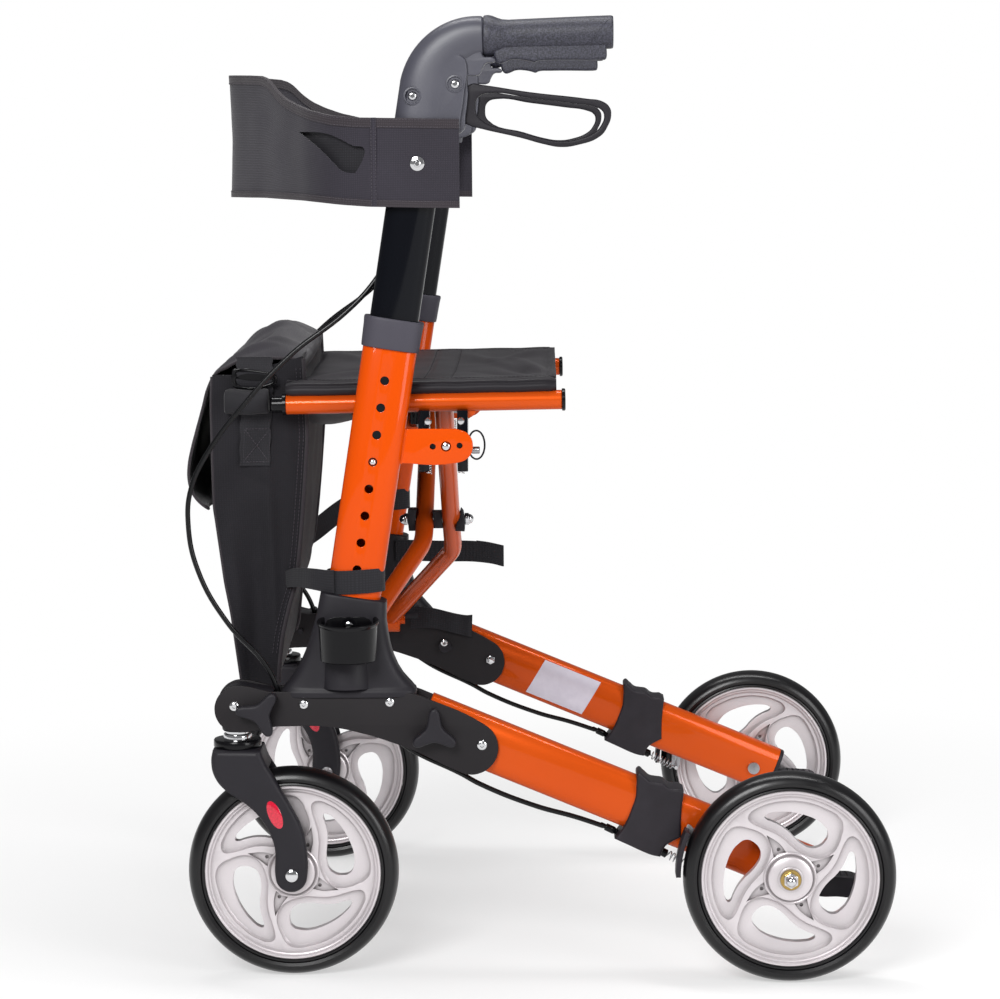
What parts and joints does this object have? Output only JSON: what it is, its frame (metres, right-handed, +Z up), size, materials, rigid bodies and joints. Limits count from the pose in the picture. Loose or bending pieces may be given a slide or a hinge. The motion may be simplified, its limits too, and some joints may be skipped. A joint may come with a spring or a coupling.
{
  "type": "rollator",
  "caption": "Side-folding walking frame on wheels with seat, backrest band, bag, height-set handles and cable brakes.",
  "frame": {"origin": "centre of the footprint on the floor", "axes": "+X towards the user behind the frame, +Y to the user's right, +Z up"},
  "size_m": [0.684, 0.6146, 0.9011],
  "materials": {
    "orange_enamel": "glossy orange enamel on aluminium tube",
    "black_enamel": "glossy black enamel on aluminium",
    "black_nylon": "moulded black nylon",
    "grey_rubber": "soft grey grip rubber",
    "tyre": "solid black tyre",
    "silver_plastic": "silver wheel plastic",
    "steel": "bright zinc or chrome",
    "black_cloth": "woven black nylon cloth"
  },
  "bodies": {
    "left_frame": {"left_outer_plate": "black_enamel", "left_inner_plate": "black_enamel", "left_base_tower": "black_nylon", "left_upright": "orange_enamel", "left_collar": "grey_rubber", "left_head_block": "black_nylon", "left_rear_leg": "orange_enamel", "left_leg_end_cap": "black_nylon", "left_rear_axle": "steel", "left_brake_cover": "black_nylon", "left_brake_cable": "black_nylon", "left_brake_spring": "steel"},
    "front_brace": {"front_brace": "orange_enamel", "centre_bolt": "steel", "bag": "black_cloth", "seat_fabric": "black_cloth"},
    "rear_brace": {"rear_brace": "orange_enamel"},
    "right_frame": {"right_outer_plate": "black_enamel", "right_inner_plate": "black_enamel", "right_base_tower": "black_nylon", "right_upright": "orange_enamel", "right_collar": "grey_rubber", "right_head_block": "black_nylon", "right_rear_leg": "orange_enamel", "right_leg_end_cap": "black_nylon", "right_rear_axle": "steel", "right_brake_cover": "black_nylon", "right_brake_cable": "black_nylon", "right_brake_spring": "steel"},
    "left_handle": {"left_handle_tube": "black_enamel", "left_elbow_housing": "black_nylon", "left_grip": "grey_rubber", "backrest_band": "black_cloth"},
    "left_button": {"left_snap_button": "steel"},
    "left_lever": {"left_brake_lever": "black_nylon"},
    "left_brake_arm": {"left_brake_arm": "steel"},
    "left_caster": {"left_caster_fork": "black_nylon", "left_front_axle": "steel"},
    "left_front_wheel": {"left_front_wheel": "silver_plastic", "left_front_tyre": "tyre"},
    "left_rear_wheel": {"left_rear_wheel": "silver_plastic", "left_rear_tyre": "tyre"},
    "left_front_knob": {"left_front_knob": "black_nylon"},
    "left_rear_knob": {"left_rear_knob": "black_nylon"},
    "left_catch_pin": {"left_catch_pin": "steel"},
    "right_handle": {"right_handle_tube": "black_enamel", "right_elbow_housing": "black_nylon", "right_grip": "grey_rubber"},
    "right_button": {"right_snap_button": "steel"},
    "right_lever": {"right_brake_lever": "black_nylon"},
    "right_brake_arm": {"right_brake_arm": "steel"},
    "right_caster": {"right_caster_fork": "black_nylon", "right_front_axle": "steel"},
    "right_front_wheel": {"right_front_wheel": "silver_plastic", "right_front_tyre": "tyre"},
    "right_rear_wheel": {"right_rear_wheel": "silver_plastic", "right_rear_tyre": "tyre"},
    "right_front_knob": {"right_front_knob": "black_nylon"},
    "right_rear_knob": {"right_rear_knob": "black_nylon"},
    "right_catch_pin": {"right_catch_pin": "steel"}
  },
  "joints": [
    {"name": "fold", "type": "hinge", "parent": "left_frame", "child": "front_brace", "pos_m": [-0.195, -0.208, 0.27], "axis": [1, 0, 0], "range_deg": [0, 50], "deforming": ["seat_fabric", "backrest_band", "bag"]},
    {"name": "rear_brace_turn", "type": "hinge", "parent": "front_brace", "child": "rear_brace", "pos_m": [-0.0755, 0, 0.40522], "axis": [1, 0, 0], "range_deg": [-100, 0]},
    {"name": "right_frame_turn", "type": "hinge", "parent": "rear_brace", "child": "right_frame", "pos_m": [-0.156, 0.208, 0.27], "axis": [1, 0, 0], "range_deg": [0, 50]},
    {"name": "left_height", "type": "slide", "parent": "left_frame", "child": "left_handle", "axis": [0.1564, 0, 0.9877], "range_m": [-0.1024, 0.0768], "deforming": ["left_snap_button", "left_brake_cable"]},
    {"name": "left_button_push", "type": "slide", "parent": "left_handle", "child": "left_button", "axis": [0, 1, 0], "range_m": [0, 0.0045], "stiffness_N_per_m": 600, "springref_m": -0.003},
    {"name": "left_lever_squeeze", "type": "hinge", "parent": "left_handle", "child": "left_lever", "pos_m": [-0.0621, -0.245, 0.8395], "axis": [0, -1, 0], "range_deg": [0, 15], "stiffness_Nm_per_rad": 1.5, "springref_deg": -5.73, "deforming": ["left_brake_spring"]},
    {"name": "left_brake_arm_turn", "type": "hinge", "parent": "left_frame", "child": "left_brake_arm", "pos_m": [0.162, -0.245, 0.1235], "axis": [0, 1, 0], "range_deg": [0, 5]},
    {"name": "left_caster_swivel", "type": "hinge", "parent": "left_frame", "child": "left_caster", "pos_m": [-0.2774, -0.245, 0.2195], "axis": [0, 0, 1], "continuous": true},
    {"name": "left_front_wheel_spin", "type": "hinge", "parent": "left_caster", "child": "left_front_wheel", "pos_m": [-0.226, -0.245, 0.1], "axis": [0, 1, 0], "continuous": true},
    {"name": "left_rear_wheel_spin", "type": "hinge", "parent": "left_frame", "child": "left_rear_wheel", "pos_m": [0.242, -0.28, 0.1], "axis": [0, 1, 0], "continuous": true},
    {"name": "left_front_knob_turn", "type": "hinge", "parent": "left_frame", "child": "left_front_knob", "pos_m": [-0.253, -0.245, 0.256], "axis": [0, 1, 0], "continuous": true},
    {"name": "left_rear_knob_turn", "type": "hinge", "parent": "left_frame", "child": "left_rear_knob", "pos_m": [-0.09, -0.245, 0.237], "axis": [0, 1, 0], "continuous": true},
    {"name": "left_catch_pull", "type": "slide", "parent": "left_frame", "child": "left_catch_pin", "axis": [1, 0, 0], "range_m": [0, 0.008], "stiffness_N_per_m": 400, "springref_m": -0.004},
    {"name": "right_height", "type": "slide", "parent": "right_frame", "child": "right_handle", "axis": [0.1564, 0, 0.9877], "range_m": [-0.1024, 0.0768], "deforming": ["right_snap_button", "right_brake_cable"]},
    {"name": "right_button_push", "type": "slide", "parent": "right_handle", "child": "right_button", "axis": [0, -1, 0], "range_m": [0, 0.0045], "stiffness_N_per_m": 600, "springref_m": -0.003},
    {"name": "right_lever_squeeze", "type": "hinge", "parent": "right_handle", "child": "right_lever", "pos_m": [-0.0621, 0.245, 0.8395], "axis": [0, -1, 0], "range_deg": [0, 15], "stiffness_Nm_per_rad": 1.5, "springref_deg": -5.73, "deforming": ["right_brake_spring"]},
    {"name": "right_brake_arm_turn", "type": "hinge", "parent": "right_frame", "child": "right_brake_arm", "pos_m": [0.162, 0.245, 0.1235], "axis": [0, 1, 0], "range_deg": [0, 5]},
    {"name": "right_caster_swivel", "type": "hinge", "parent": "right_frame", "child": "right_caster", "pos_m": [-0.2774, 0.245, 0.2195], "axis": [0, 0, 1], "continuous": true},
    {"name": "right_front_wheel_spin", "type": "hinge", "parent": "right_caster", "child": "right_front_wheel", "pos_m": [-0.226, 0.245, 0.1], "axis": [0, 1, 0], "continuous": true},
    {"name": "right_rear_wheel_spin", "type": "hinge", "parent": "right_frame", "child": "right_rear_wheel", "pos_m": [0.242, 0.28, 0.1], "axis": [0, 1, 0], "continuous": true},
    {"name": "right_front_knob_turn", "type": "hinge", "parent": "right_frame", "child": "right_front_knob", "pos_m": [-0.253, 0.245, 0.256], "axis": [0, 1, 0], "continuous": true},
    {"name": "right_rear_knob_turn", "type": "hinge", "parent": "right_frame", "child": "right_rear_knob", "pos_m": [-0.09, 0.245, 0.237], "axis": [0, 1, 0], "continuous": true},
    {"name": "right_catch_pull", "type": "slide", "parent": "right_frame", "child": "right_catch_pin", "axis": [1, 0, 0], "range_m": [0, 0.008], "stiffness_N_per_m": 400, "springref_m": -0.004}
  ],
  "couplings": [
    {"joint": "rear_brace_turn", "follows": "fold", "ratio": -2},
    {"joint": "right_frame_turn", "follows": "fold", "ratio": 1},
    {"joint": "right_height", "follows": "left_height", "ratio": 1},
    {"joint": "left_brake_arm_turn", "follows": "left_lever_squeeze", "ratio": 0.33333},
    {"joint": "right_brake_arm_turn", "follows": "right_lever_squeeze", "ratio": 0.33333}
  ]
}
